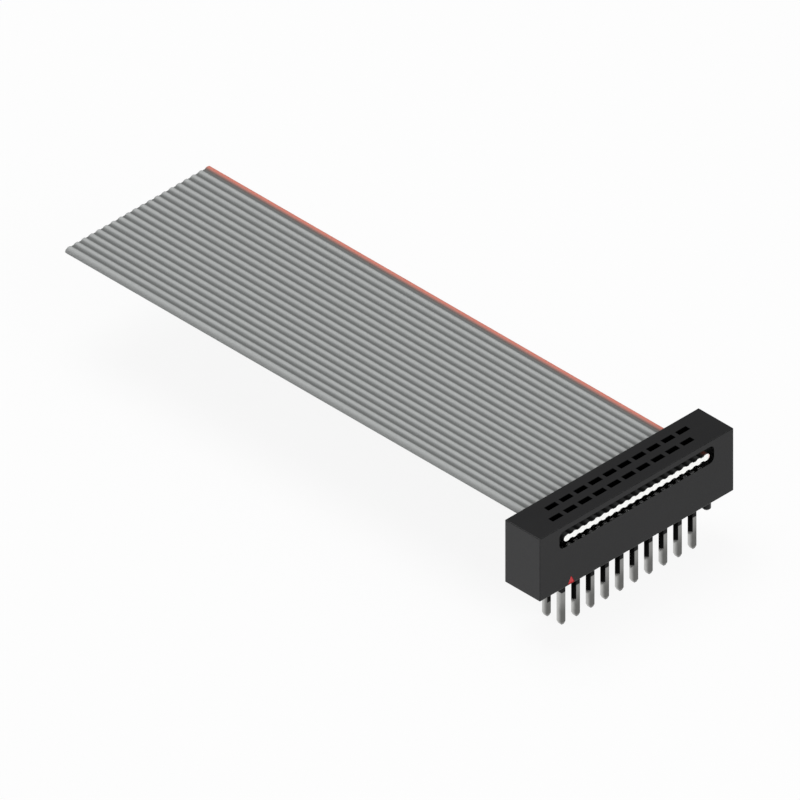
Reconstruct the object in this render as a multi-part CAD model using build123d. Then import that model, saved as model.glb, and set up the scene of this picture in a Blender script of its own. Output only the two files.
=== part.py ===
from build123d import *
import os
from math import atan2, cos, pi, radians, sin, sqrt

# A short flat ribbon cable with a board connector pressed onto one end.
# X runs along the connector towards the cable's marked edge, Y along the cable away from the
# connector's front face, and Z up. The origin is the middle of the pin field on the housing's
# underside, where the surface of the circuit board would be. Sizes are in millimetres.

# Contact grid: two rows of pins, and one wire to each pin
ways = 20
pin_pitch = 2.54
rows_apart = 2.54
wire_pitch = pin_pitch / 2
stagger = wire_pitch / 2

# Flat cable
lobe_thickness = 0.95
lobe_radius = 0.6
web_thickness = 0.6
edge_margin = 0.635
free_length = 80.9
cable_height = 7.34

# Stranded wire of seven strands
strand_diameter = 0.127
wire_clearance = 0.01
closed_end = 0.4

# Housing
housing_depth = 6.12
end_wall = 4.2
roof = 1.585
edge_radius = 0.12
slot_clearance = 0.05
mouth_gap = 0.8
mouth_depth = 1.2
mouth_corner = 0.8

# Windows above the blades
window_length = 1.88
window_width = 0.86
window_rows_apart = 2.03

# Contact: a post, a body that seats on a shoulder in the housing, and a forked blade
post_width = 0.64
post_depth = 0.9
post_length = 6.8
post_taper = 0.4
post_taper_inset = 0.14
body_recess = 1.0
body_height = 2.6
barb_reach = 0.04
barb_height = 0.45
barb_count = 2
blade_width = 1.0
blade_thickness = 0.32
fork_depth = 0.6
point_rise = 0.8
point_length = 0.45
point_flat = 0.08
cavity_clearance = 0.05
slit_clearance = 0.02

# Locating peg, one pitch past the last pin of the front row
peg_radius = 0.56
peg_length = 2.2
peg_chamfer = 0.2

# Moulded pin-one arrow on the front face
arrow_width = 1.2
arrow_height = 1.15
arrow_depth = 0.1

# Derived places
front = -housing_depth / 2
back = housing_depth / 2
far_end = back + free_length
lobe_top = lobe_thickness / 2
ribbon_half_width = (ways - 1) * wire_pitch / 2 + edge_margin
housing_length = 2 * (ribbon_half_width + end_wall)
housing_height = cable_height + lobe_top + roof
wire_radius = 1.5 * strand_diameter
fork_gap = 2 * (wire_radius + wire_clearance)
body_width = 2 * (stagger + post_width / 2)
shoulder_height = body_recess + body_height
post_y = -rows_apart / 2
inner_face_y = post_y + post_depth / 2
blade_y = inner_face_y - blade_thickness / 2
point_height = cable_height + lobe_top + point_rise
peg_x = (ways / 2 + 1) * pin_pitch / 2


def wire_x(way):
    return (way - (ways - 1) / 2) * wire_pitch


def at_way(shape, way):
    """Place a shape made for the front row at one way. The back row is the front row turned round."""
    turn = 0 if way % 2 == 0 else 180
    return Pos(wire_x(way), 0, 0) * Rot(0, 0, turn) * shape


def block(x, y, z_low, z_high, width, depth):
    return Pos(x, y, (z_low + z_high) / 2) * Box(width, depth, z_high - z_low)


def plate(points, y_low, y_high):
    """A flat plate with an outline of (x, z) points, between two Y planes."""
    outline = make_face(Polyline(*points, close=True))
    return extrude(Plane.XZ.offset(-y_low) * outline, amount=y_high - y_low, dir=(0, 1, 0))


def ribbon_section(grow=0.0):
    """The cable's scalloped cross-section about its own middle, made larger all round by grow."""
    radius = lobe_radius + grow
    centre = lobe_top - lobe_radius
    top = lobe_top + grow
    web = web_thickness / 2 + grow
    half = sqrt(radius**2 - (web - centre) ** 2)
    quarter = (pi / 2 + atan2(web - centre, half)) / 2
    mid_x, mid_z = radius * cos(quarter), centre + radius * sin(quarter)
    edge = edge_margin + grow
    last = wire_x(ways - 1)
    upper = Curve() + EllipticalCenterArc((last, 0), edge, top, start_angle=0, arc_size=90)
    upper += EllipticalCenterArc((-last, 0), edge, top, start_angle=90, arc_size=90)
    for way in range(ways - 1):
        x, next_x = wire_x(way), wire_x(way + 1)
        upper += ThreePointArc((x, top), (x + mid_x, mid_z), (x + half, web))
        upper += Line((x + half, web), (next_x - half, web))
        upper += ThreePointArc((next_x - half, web), (next_x - mid_x, mid_z), (next_x, top))
    return make_face(upper + mirror(upper, Plane.XZ))


def along_cable(section, y_low, y_high):
    """Carry a cross-section along the cable at the cable's height."""
    across = Plane(origin=(0, y_low, cable_height), x_dir=(1, 0, 0), z_dir=(0, -1, 0))
    return extrude(across * section, amount=y_high - y_low, dir=(0, 1, 0))


def strand_section():
    """The outline round six strands that lie about a seventh."""
    r = strand_diameter / 2

    def around(step, turn):
        middle, out = radians(60 * step), radians(60 * step + turn)
        return (2 * r * cos(middle) + r * cos(out), 2 * r * sin(middle) + r * sin(out))

    outline = Curve()
    for step in range(6):
        outline += ThreePointArc(around(step, -60), around(step, 0), around(step, 60))
        outline += Line(around(step, 60), around(step + 1, -60))
    return make_face(outline)


def make_contact():
    taper_top = -post_length + post_taper
    post = block(stagger, post_y, taper_top, shoulder_height, post_width, post_depth)
    tip_width = post_width - 2 * post_taper_inset
    tip_depth = post_depth - 2 * post_taper_inset
    tip = loft([
        Pos(stagger, post_y, taper_top) * Rectangle(post_width, post_depth),
        Pos(stagger, post_y, -post_length) * Rectangle(tip_width, tip_depth),
    ])
    body = block(0, post_y, body_recess, shoulder_height, body_width, post_depth)
    shape = post + tip + body
    side = body_width / 2
    step = body_height / (barb_count + 1)
    for count in range(barb_count):
        low = body_recess + (count + 1) * step - barb_height / 2
        high = low + barb_height
        for hand in (-1, 1):
            barb = [(0, low), (hand * (side + barb_reach), low), (hand * side, high), (0, high)]
            shape += plate(barb, post_y - post_depth / 2, inner_face_y)
    return shape + make_blade()


def make_blade():
    """The forked blade: two points that open towards the cable, and a slot that grips the wire."""
    half, gap = blade_width / 2, fork_gap / 2
    point_x = (half + gap) / 2
    low, bevel = shoulder_height, point_height - point_length
    fork_bottom = cable_height - fork_depth
    outline = [
        (-half, low), (half, low), (half, bevel),
        (point_x + point_flat / 2, point_height), (point_x - point_flat / 2, point_height),
        (gap, bevel), (gap, fork_bottom), (-gap, fork_bottom), (-gap, bevel),
        (-point_x + point_flat / 2, point_height), (-point_x - point_flat / 2, point_height),
        (-half, bevel),
    ]
    blade = plate(outline, inner_face_y - blade_thickness, inner_face_y)
    round_end = Pos(0, blade_y, fork_bottom) * Rot(90, 0, 0) * Cylinder(gap, blade_thickness)
    return blade - round_end


def make_contact_space():
    """What one contact needs cut from the housing: cavity, blade passage and window."""
    room = 2 * cavity_clearance
    cavity = block(0, post_y, 0, shoulder_height, body_width + room, post_depth + room)
    passage_width, passage_depth = blade_width + room, blade_thickness + room
    passage = block(0, blade_y, shoulder_height, cable_height, passage_width, passage_depth)
    window = block(0, -window_rows_apart / 2, cable_height, housing_height, window_length, window_width)
    return cavity + passage + window


def make_housing():
    shell = block(0, 0, 0, housing_height, housing_length, housing_depth)
    shell = fillet(shell.edges(), edge_radius)
    shell += make_peg()
    shell -= along_cable(ribbon_section(slot_clearance), front, back)
    mouth_width = 2 * (ribbon_half_width + mouth_gap)
    mouth = RectangleRounded(mouth_width, lobe_thickness + 2 * mouth_gap, mouth_corner)
    shell -= along_cable(mouth, front, front + mouth_depth)
    shell -= along_cable(mouth, back - mouth_depth, back)
    space = make_contact_space()
    shell -= [at_way(space, way) for way in range(ways)]
    arrow_x = wire_x(0) + stagger
    arrow = [
        (arrow_x - arrow_width / 2, edge_radius), (arrow_x + arrow_width / 2, edge_radius),
        (arrow_x, edge_radius + arrow_height),
    ]
    return shell - plate(arrow, front, front + arrow_depth)


def make_peg():
    middle = (edge_radius - peg_length) / 2
    peg = Pos(peg_x, post_y, middle) * Cylinder(peg_radius, peg_length + edge_radius)
    return chamfer(peg.edges().sort_by(Axis.Z)[0], peg_chamfer)


def make_jacket():
    """The extruded insulation, with a bore for each wire and two slits where each blade pierces it."""
    jacket = along_cable(ribbon_section(), front, far_end)
    bore = along_cable(Circle(wire_radius + wire_clearance), front + closed_end, far_end)
    jacket -= [Pos(wire_x(way), 0, 0) * bore for way in range(ways)]
    inside = fork_gap / 2 - slit_clearance
    outside = blade_width / 2 + slit_clearance
    width = outside - inside
    depth = blade_thickness + 2 * slit_clearance
    low, high = cable_height - lobe_thickness, cable_height + lobe_thickness
    slits = block(-inside - width / 2, blade_y, low, high, width, depth)
    slits += block(inside + width / 2, blade_y, low, high, width, depth)
    return jacket - [at_way(slits, way) for way in range(ways)]


def write(shape, name):
    solids = shape.solids()
    print(name, "solids", len(solids), "volume", round(sum(s.volume for s in solids), 3))
    export_step(shape, f"parts/{name}.step")


os.makedirs("parts", exist_ok=True)
write(make_housing(), "housing")
write(make_jacket(), "ribbon_jacket")
contact = make_contact()
wire = along_cable(strand_section(), front + closed_end, far_end)
for way in range(ways):
    write(at_way(contact, way), f"contact_{way + 1:02d}")
    write(Pos(wire_x(way), 0, 0) * wire, f"wire_{way + 1:02d}")
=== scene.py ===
import bpy
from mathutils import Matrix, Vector


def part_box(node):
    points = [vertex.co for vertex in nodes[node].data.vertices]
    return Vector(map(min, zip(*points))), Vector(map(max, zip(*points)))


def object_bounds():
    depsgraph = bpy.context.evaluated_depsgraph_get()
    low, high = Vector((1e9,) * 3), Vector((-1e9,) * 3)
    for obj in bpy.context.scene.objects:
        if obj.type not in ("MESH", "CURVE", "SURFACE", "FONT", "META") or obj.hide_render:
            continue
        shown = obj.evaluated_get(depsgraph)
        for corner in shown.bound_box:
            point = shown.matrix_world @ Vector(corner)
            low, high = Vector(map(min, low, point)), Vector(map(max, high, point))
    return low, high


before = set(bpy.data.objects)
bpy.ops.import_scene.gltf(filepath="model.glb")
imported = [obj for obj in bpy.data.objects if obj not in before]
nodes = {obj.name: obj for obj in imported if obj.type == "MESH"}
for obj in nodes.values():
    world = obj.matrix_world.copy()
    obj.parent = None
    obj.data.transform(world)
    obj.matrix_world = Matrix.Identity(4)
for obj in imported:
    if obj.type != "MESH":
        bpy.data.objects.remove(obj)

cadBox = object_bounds()
mm = 0.001
# sizes and places below are in millimetres, unless a note says otherwise
wirePitch = 1.27
pinPitch = 2 * wirePitch
near = 0.02                                    # what is nearer than this to a face is on it
print("frame loaded:", len(nodes), "nodes")


class Value:                                   # a socket that can be used in sums
    def __init__(self, finish, socket):
        self.finish, self.socket = finish, socket

    def out(self, name):                       # another output of the same node
        return Value(self.finish, self.socket.node.outputs[name])

    def math(self, operation, *others):
        return self.finish.node("Math", {"operation": operation}, dict(enumerate((self, *others))))

    def __add__(self, other):
        return self.math("ADD", other)

    def __sub__(self, other):
        return self.math("SUBTRACT", other)

    def __rsub__(self, other):
        return self * -1 + other

    def __mul__(self, other):
        return self.math("MULTIPLY", other)

    def __truediv__(self, other):
        return self.math("DIVIDE", other)

    def __mod__(self, other):                  # wraps from 0 up to other, below zero too
        return self.math("WRAP", other, 0.0)

    def __gt__(self, other):
        return self.math("GREATER_THAN", other)

    def __lt__(self, other):
        return self.math("LESS_THAN", other)

    def __abs__(self):
        return self.math("ABSOLUTE")

    __radd__ = __add__
    __rmul__ = __mul__

    def least(self, other):
        return self.math("MINIMUM", other)

    def most(self, other):
        return self.math("MAXIMUM", other)

    def fade(self, low, high):                 # 0 below low, 1 above high, smooth between
        return self.finish.node("MapRange", {"interpolation_type": "SMOOTHSTEP"},
                                {"Value": self, "From Min": low, "From Max": high})


class Finish:                                  # the nodes of one material, or of the world
    def __init__(self, owner):
        self.owner = owner
        owner.use_nodes = True
        self.tree = owner.node_tree
        self.tree.nodes.clear()

    def node(self, kind, settings=None, inputs=None, output=0):
        made = self.tree.nodes.new("ShaderNode" + kind)
        for name, value in (settings or {}).items():
            setattr(made, name, value)
        for name, value in (inputs or {}).items():
            if isinstance(value, Value):
                self.tree.links.new(value.socket, made.inputs[name])
            else:
                made.inputs[name].default_value = value
        return Value(self, made.outputs[output]) if made.outputs else made

    def places(self):                          # x, y and z in millimetres
        self.place = self.node("TexCoord").out("Object")
        apart = self.node("SeparateXYZ", inputs={0: self.place})
        return [apart.out(axis) / mm for axis in "XYZ"]

    def noise(self, size, detail=2.0, stretch=(1, 1, 1)):    # a stretch below 1 draws it out
        spot = self.node("VectorMath", {"operation": "MULTIPLY"}, {0: self.place, 1: stretch})
        return self.node("TexNoise", inputs={
            "Vector": spot, "Scale": 1 / (size * mm), "Detail": detail})

    def blend(self, factor, first, second):    # two colours
        return self.node("Mix", {"data_type": "RGBA"}, {0: factor, 6: first, 7: second}, output=2)

    def relief(self, height, depth):
        return self.node("Bump", inputs={"Height": height, "Distance": depth * mm, "Strength": 1.0})

    def surface(self, inputs):
        shader = self.node("BsdfPrincipled", inputs=inputs)
        self.node("OutputMaterial", inputs={"Surface": shader})
        return self.owner


def rgb(red, green, blue):                     # screen levels from 0 to 255 as a linear colour
    def linear(level):
        level = level / 255
        return level / 12.92 if level <= 0.04045 else ((level + 0.055) / 1.055) ** 2.4
    return (linear(red), linear(green), linear(blue), 1.0)


def boxOf(node):                               # lowest and highest corner, and the middle
    low, high = (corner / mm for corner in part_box(node))
    return low, high, (low + high) / 2


def dress(names, material):
    for name in names:
        slots = nodes[name].data.materials
        slots.clear()
        slots.append(material)
    print(material.name, "on", len(names), "nodes")


# camera, floor and light

white = (1, 1, 1, 1)
view = {
    "middle": (-7.97, 30.27, 9.4),             # what the middle of the picture looks at
    "towards": (1, 1, -1),
    "width": 98.67,
    "away": 400.0,
    "clip": (0.01, 10),                        # metres
}
room = {
    "floorSize": 3.0,                          # metres, as the lamps' sizes and places are
    "floorPaint": (0.8, 0.8, 0.8, 1),
    "floorGlow": 0.90,                         # how much of the floor is seen as plain white
    "sky": 0.45,                               # strength
    "key": {"place": (0.02, 0.18, 0.46), "size": 0.35, "power": 1.25},
    "fill": {"place": (-0.05, -0.42, 0.22), "size": 0.45, "power": 1.1},
}


def setCamera(settings):
    data = bpy.data.cameras.new("camera")
    data.type = "ORTHO"
    data.ortho_scale = settings["width"] * mm
    data.clip_start, data.clip_end = settings["clip"]
    camera = bpy.data.objects.new("camera", data)
    bpy.context.scene.collection.objects.link(camera)
    towards = Vector(settings["towards"]).normalized()
    camera.location = (Vector(settings["middle"]) - towards * settings["away"]) * mm
    camera.rotation_euler = towards.to_track_quat("-Z", "Y").to_euler()
    bpy.context.scene.camera = camera


def addLamp(name, settings, target):
    data = bpy.data.lights.new(name, "AREA")
    data.shape, data.size, data.energy = "DISK", settings["size"], settings["power"]
    lamp = bpy.data.objects.new(name, data)
    bpy.context.scene.collection.objects.link(lamp)
    lamp.location = settings["place"]
    lamp.rotation_euler = (target - lamp.location).to_track_quat("-Z", "Y").to_euler()


def floorFinish(settings):
    finish = Finish(bpy.data.materials.new("paleFloor"))
    ray = finish.node("LightPath")
    seen = ray.out("Is Camera Ray").most(ray.out("Is Glossy Ray"))
    seen = seen.most(ray.out("Is Transmission Ray"))
    paint = finish.node("BsdfDiffuse", inputs={"Color": settings["floorPaint"]})
    glow = finish.node("Emission", inputs={"Color": white, "Strength": 1.0})
    shown = finish.node("MixShader", inputs={0: seen * settings["floorGlow"], 1: paint, 2: glow})
    finish.node("OutputMaterial", inputs={"Surface": shown})
    return finish.owner


def setWorld(settings):                        # a plain sky, and white ground beyond the floor
    finish = Finish(bpy.data.worlds.new("studio"))
    direction = finish.node("SeparateXYZ", inputs={0: finish.node("TexCoord").out("Generated")})
    level = (direction.out("Z") < 0) * (1 - settings["sky"]) + settings["sky"]
    light = finish.node("Background", inputs={"Color": white, "Strength": level})
    finish.node("OutputWorld", inputs={"Surface": light})
    bpy.context.scene.world = finish.owner


def setRoom(settings):
    low, high = cadBox
    bpy.context.scene.view_settings.view_transform = "Standard"
    bpy.ops.object.select_all(action="DESELECT")
    bpy.ops.mesh.primitive_plane_add(size=settings["floorSize"], location=(0, 0, low.z))
    floor = bpy.context.object
    floor.name = "floor"
    floor.data.materials.append(floorFinish(settings))
    setWorld(settings)
    for name in ("key", "fill"):
        addLamp(name, settings[name], (low + high) / 2)


setCamera(view)
setRoom(room)
print("camera, floor and light set")


# housing: glass-filled moulding with a fine grain, with painted light on its two ends

housingLook = {
    "colour": rgb(18, 18, 19),
    "mottle": rgb(24, 24, 25),
    # painted light: the two end faces are paler
    "litEnds": rgb(50, 50, 51),
    # edge colour: part wear, part painted highlight
    "wornAndHighlit": rgb(58, 58, 59),
    # painted shade in the cable's mouth
    "mouthShade": rgb(8, 8, 8),
    "polish": rgb(160, 160, 160),              # mirror colour of the mouth's floor and right end
    # painted shade in the windows
    "windowShade": rgb(1, 1, 1),
    "ink": rgb(190, 52, 58),
    "cloud": (5.0, 3),                         # each noise: size, detail and stretch
    "grain": (0.11,),
    "flow": (0.9, 2, (0.15, 1, 1)),            # marks along the way that the plastic ran
    "tint": {"cloud": 0.6, "flow": 0.3},       # how far each turns the colour into the mottle
    "endTint": {"plain": 0.75, "grain": 0.5},
    "wearAndHighlight": {"width": (0.036, 0.216), "grain": (0.35, 0.7), "tint": 0.5},    # paler edges, part wear and part painted highlight
    "rough": {"plain": 0.20, "cloud": 0.06, "flow": 0.05, "lost": 0.2},    # lost: mirror, windows
    "shine": 0.19,                             # specular level
    "relief": {"flow": 0.3, "depth": 0.003},
    "round": 0.12,                             # radius of the edges
    "mouthGap": 0.82,                          # all round the cable
    "polishDepth": (0.02, 1.18),               # from the front, short of the mouth's back wall
    "windows": (13.2, 1.5),                    # half length and half depth of their field
    "arrow": {"past": 0.635, "foot": 0.12, "halfWidth": 0.6, "tall": 1.15, "spill": 1.04,
              "depth": 0.11},
}


def housingFinish(look):
    finish = Finish(bpy.data.materials.new("blackMoulding"))
    x, y, z = finish.places()
    halfLength, halfDepth, height = boxOf("housing")[1]
    cableLow, cableHigh, cableMiddle = boxOf("ribbon_jacket")
    cloud, grain, flow = (finish.noise(*look[name]) for name in ("cloud", "grain", "flow"))
    tint = look["tint"]
    mottled = cloud * tint["cloud"] + flow * tint["flow"]
    colour = finish.blend(mottled, look["colour"], look["mottle"])
    side, face, end = halfLength - abs(x), halfDepth - abs(y), z.least(height - z)
    endTint = look["endTint"]
    # painted light on the two end faces
    onEnd = (side < near) * (endTint["plain"] + grain * endTint["grain"])
    colour = finish.blend(onEnd, colour, look["litEnds"])
    # near an edge, two of the distances to the block's faces are small
    second = side.least(face).most(side.most(face).least(end))
    # paler edges, part wear and part painted highlight
    wearAndHighlight = look["wearAndHighlight"]
    wornAndHighlit = (1 - second.fade(*wearAndHighlight["width"])) * grain.fade(*wearAndHighlight["grain"])
    colour = finish.blend(wornAndHighlit * wearAndHighlight["tint"], colour, look["wornAndHighlit"])
    # painted shade: little light reaches into the cable's mouth, and none into the windows
    gap = look["mouthGap"]
    halfThick = cableHigh.z - cableMiddle.z
    inMouth = (abs(x) < cableHigh.x + gap) * (abs(z - cableMiddle.z) < halfThick + gap)
    colour = finish.blend(inMouth * (face > near), colour, look["mouthShade"])
    onFloorOrEnd = (z < cableLow.z - gap + 2 * near).most(x > cableHigh.x + gap - 3 * near)
    nearest, deepest = look["polishDepth"]
    polished = onFloorOrEnd * inMouth * (face > nearest) * (face < deepest) * (x > cableLow.x)
    colour = finish.blend(polished, colour, look["polish"])
    fieldLength, fieldDepth = look["windows"]
    inField = (abs(y) < fieldDepth) * (abs(x) < fieldLength)
    inWindow = (z > cableHigh.z) * (end > look["round"]) * inField
    colour = finish.blend(inWindow, colour, look["windowShade"])
    # ink in the engraved arrow
    arrow = look["arrow"]
    fromMiddle = abs(x - (boxOf("contact_01")[2].x + arrow["past"]))
    above = z - arrow["foot"]
    inked = fromMiddle / arrow["halfWidth"] + above / arrow["tall"] < arrow["spill"]
    inked = inked * (above > -near) * (y < arrow["depth"] - halfDepth) * (face > near / 2)
    colour = finish.blend(inked, colour, look["ink"])
    rough, relief = look["rough"], look["relief"]
    roughness = rough["plain"] + cloud * rough["cloud"] + flow * rough["flow"]
    return finish.surface({
        "Base Color": colour,
        "Metallic": polished,
        "Roughness": roughness - inWindow.most(polished) * rough["lost"],
        "Specular IOR Level": look["shine"],
        "Normal": finish.relief(grain + flow * relief["flow"], relief["depth"]),
    })


dress(["housing"], housingFinish(housingLook))


# flat cable: grey vinyl with a printed stripe along its last wire

jacketLook = {
    "colour": rgb(172, 174, 173),
    "mottle": rgb(160, 162, 162),
    # painted shade in the grooves between the lobes
    "grooveShade": rgb(96, 98, 97),
    "cut": rgb(250, 250, 248),
    "stripe": rgb(203, 117, 100),
    "stripeGrooveShade": rgb(104, 94, 90),          # painted groove shade on the ink beside the lobe
    "litAndShadedUnder": (rgb(238, 239, 238), rgb(8, 8, 8)),    # painted light below the lobes and painted shade below the grooves in the mouth
    "paintedMouthShade": rgb(0, 0, 0),                      # painted shade above them in the mouth
    "shade": (0.17, 0.06),                     # colour the painted shade leaves there, on a lobe and in a groove
    "drawn": (0.16, 2, (1, 0.02, 1)),          # lines that the extruder leaves
    "cloud": (2.4, 3),
    "fine": (0.08, 1),
    "tint": {"cloud": 0.5, "drawn": 0.4},
    "rough": {"plain": 0.52, "cloud": 0.1, "drawn": 0.08, "ink": 0.06},
    "shine": 0.30,                             # specular level
    "relief": {"fine": 0.3, "depth": 0.004},
    "mouthDepth": 1.2,
    "grooveFade": (0.08, 0.60),                # from the lobe's middle outwards
    "grooveLess": 0.6,                         # how much less painted groove shade the cable's two edges have
    "underFade": (0.2, 0.6),
    "stripeFrom": (11.40, 11.75),              # where the ink starts and where it covers
    "stripeFull": (11.64, 12.14),              # where it goes from its painted groove shade to its own colour
    "stripeWander": 0.05,                      # of its edge, with the drawn lines
    "stripeCover": {"plain": 0.9, "fine": 0.1},
    "stripeShadeLess": 0.1,                    # how much less painted shade it has in the mouth
    "inkedCut": (12.35, 12.75),                # where it tints the cut faces
    "inkedCutTint": 0.6,
}


def jacketFinish(look):
    finish = Finish(bpy.data.materials.new("greyVinyl"))
    x, y, z = finish.places()
    low, high, middle = boxOf("ribbon_jacket")
    across = abs((x % wirePitch) - wirePitch / 2)
    drawn, cloud, fine = (finish.noise(*look[name]) for name in ("drawn", "cloud", "fine"))
    tint = look["tint"]
    mottled = cloud * tint["cloud"] + drawn * tint["drawn"]
    colour = finish.blend(mottled, look["colour"], look["mottle"])
    inGroove = across.fade(*look["grooveFade"])
    onEdge = abs(x) > high.x - wirePitch / 2
    # painted shade in the grooves, less on the cable's two edges
    colour = finish.blend(inGroove * (1 - onEdge * look["grooveLess"]), colour, look["grooveShade"])
    inkedX = x + (drawn - 0.5) * look["stripeWander"]
    inked = inkedX.fade(*look["stripeFrom"])
    # the ink, with painted groove shade beside the lobe
    ink = finish.blend(inkedX.fade(*look["stripeFull"]), look["stripeGrooveShade"], look["stripe"])
    cover = look["stripeCover"]
    colour = finish.blend(inked * (cover["plain"] + fine * cover["fine"]), colour, ink)
    # inside the housing's mouth, painted shade above the cable's middle and painted light below it,
    # with painted shade under the grooves
    inMouth = y < low.y + look["mouthDepth"]
    below = finish.blend(inGroove.fade(*look["underFade"]), *look["litAndShadedUnder"])
    colour = finish.blend(inMouth * (z < middle.z), colour, below)
    onLobe, inDip = look["shade"]
    shaded = inMouth * (z > middle.z) * (1 - inked * look["stripeShadeLess"])
    shaded = shaded * (1 - onLobe + inGroove * (onLobe - inDip))
    colour = finish.blend(shaded, colour, look["paintedMouthShade"])
    cut = (y < low.y + near).most(y > high.y - near)
    inkedCut = x.fade(*look["inkedCut"]) * look["inkedCutTint"]
    colour = finish.blend(cut, colour, finish.blend(inkedCut, look["cut"], look["stripe"]))
    rough, relief = look["rough"], look["relief"]
    roughness = rough["plain"] + cloud * rough["cloud"] + drawn * rough["drawn"]
    return finish.surface({
        "Base Color": colour,
        "Roughness": roughness - inked * rough["ink"],
        "Specular IOR Level": look["shine"],
        "Normal": finish.relief(drawn + fine * relief["fine"], relief["depth"]),
    })


dress(["ribbon_jacket"], jacketFinish(jacketLook))


# contacts: tin on the tails, with painted light and shade: darker where the strip was rolled,
# lighter where it was sheared, and painted shadow and dark reflection near the housing

contactLook = {
    # painted light and shade: rolled faces darker and lighter higher up, sheared faces lighter
    "rolledShaded": rgb(100, 100, 98),
    "rolledUpperLit": rgb(136, 136, 134),
    "rolledFade": (-5.2, -2.6),                # heights where the one turns into the other
    "shearedLit": rgb(192, 192, 190),
    "shadowAndMirrorDark": rgb(14, 14, 15),                   # painted shadow and dark reflection above the tin
    "lines": (0.06, 2, (1, 1, 0.06)),          # along the tail
    "cloud": (0.8, 3),
    "wander": (0.4, 1, (1, 1, 0.5)),           # moves the edges between the shades
    "wanderBy": {"rolledShaded": 0.6, "shearedLit": 0.2},
    "rough": {"plain": 0.09, "cloud": 0.06, "lines": 0.03},
    "depth": 0.0012,                           # of the lines
    "halfWidth": 0.32,
    "halfDepth": 0.45,
    "slack": 0.004,                            # what is nearer than this to a tail's face is on it
    "taper": (0.4, 0.14),                      # how tall, and how much on each side
    "past": 0.635,                             # a tail stands this far beside its wire
    "shadowTo": -2.0,                             # height where the painted shadow ends on the rolled faces
    "mirrorDarkToSheared": -4.3,                      # and where the painted dark reflection ends on the sheared ones
    # slant of the painted dark reflection's edge across the sheared faces
    "mirrorDarkSlant": 0.44,
    "shadeToInside": -4.7,                       # and where the painted shade ends on the rolled faces between the two rows
    # how softly the painted dark ends
    "darkFade": 0.1,
}


def contactFinish(look):
    finish = Finish(bpy.data.materials.new("tinPlate"))
    x, y, z = finish.places()
    low, _, middle = boxOf("contact_01")
    lines, cloud, wander = (finish.noise(*look[name]) for name in ("lines", "cloud", "wander"))
    wander, by = wander - 0.5, look["wanderBy"]
    upper = (z + wander * by["rolledShaded"]).fade(*look["rolledFade"])
    colour = finish.blend(upper, look["rolledShaded"], look["rolledUpperLit"])
    acrossX, acrossY = abs((x % pinPitch) - wirePitch), (y % pinPitch) - wirePitch
    tall, inset = look["taper"]
    half = look["halfWidth"] - ((low.z + tall - z) / tall).most(0) * inset
    onSheared = acrossX > half - look["slack"]
    # painted light across the sheared faces, growing towards +y
    litAcross = (acrossY + wander * by["shearedLit"]).fade(-look["halfDepth"], look["halfDepth"])
    colour = finish.blend(onSheared * litAcross, colour, look["shearedLit"])
    # painted dark reflection of the neighbouring pins on the sides; the first pin of each row has
    # none, so its sides are dark only as high as in front
    pastFirst = x > middle.x + look["past"] + wirePitch
    aboveSide = (z + acrossY * look["mirrorDarkSlant"] - look["mirrorDarkToSheared"]) * onSheared * pastFirst
    between = abs(y) < wirePitch - look["halfDepth"] + look["slack"]
    aboveInside = (z - look["shadeToInside"]) * between
    # painted shadow and dark reflection on the tails' upper parts
    shadowAndMirrorDark = (z - look["shadowTo"]).most(aboveSide).most(aboveInside).fade(0, look["darkFade"])
    colour = finish.blend(shadowAndMirrorDark, colour, look["shadowAndMirrorDark"])
    rough = look["rough"]
    return finish.surface({
        "Base Color": colour,
        "Metallic": 1.0,
        "Roughness": rough["plain"] + cloud * rough["cloud"] + lines * rough["lines"],
        "Normal": finish.relief(lines, look["depth"]),
    })


dress([name for name in nodes if name.startswith("contact_")], contactFinish(contactLook))


# wires: seven tinned strands, copper where they are cut

wireLook = {
    "tin": rgb(216, 214, 208),
    "tinMottle": rgb(190, 188, 182),
    "copper": rgb(196, 122, 84),
    # painted shade in the gaps between the strands
    "gap": rgb(30, 26, 24),
    "drawn": (0.03, 2, (1, 0.03, 1)),          # lines along the strands
    "tint": 0.6,
    "rough": {"plain": 0.28, "drawn": 0.15},
    "depth": 0.002,                            # of the lines
    "strand": 0.127,
    "plating": 0.008,
    "slack": 0.001,                            # the gap starts this much inside a strand's edge
    "sixth": 1.0471976,                        # of a turn, in radians
}


def hypotenuse(first, second):
    return (first * first + second * second).math("SQRT")


def wireFinish(look):
    finish = Finish(bpy.data.materials.new("tinnedCopper"))
    x, y, z = finish.places()
    _, high, middle = boxOf("wire_01")
    drawn = finish.noise(*look["drawn"])
    acrossX, acrossZ = (x % wirePitch) - wirePitch / 2, z - middle.z
    reach = hypotenuse(acrossX, acrossZ)
    sixth = look["sixth"]
    turn = (acrossZ.math("ARCTAN2", acrossX) + sixth / 2) % sixth - sixth / 2
    along, beside = reach * turn.math("COSINE") - look["strand"], reach * turn.math("SINE")
    fromMiddle = reach.least(hypotenuse(along, beside))    # of the nearest strand
    radius = look["strand"] / 2
    cut = y > high.y - near / 2
    colour = finish.blend(drawn * look["tint"], look["tin"], look["tinMottle"])
    inside, outside = fromMiddle < radius - look["plating"], fromMiddle > radius - look["slack"]
    colour = finish.blend(cut * inside, colour, look["copper"])
    # painted shade between the strands
    colour = finish.blend(cut * outside, colour, look["gap"])
    return finish.surface({
        "Base Color": colour,
        "Metallic": 1.0,
        "Roughness": look["rough"]["plain"] + drawn * look["rough"]["drawn"],
        "Normal": finish.relief(drawn, look["depth"]),
    })


dress([name for name in nodes if name.startswith("wire_")], wireFinish(wireLook))
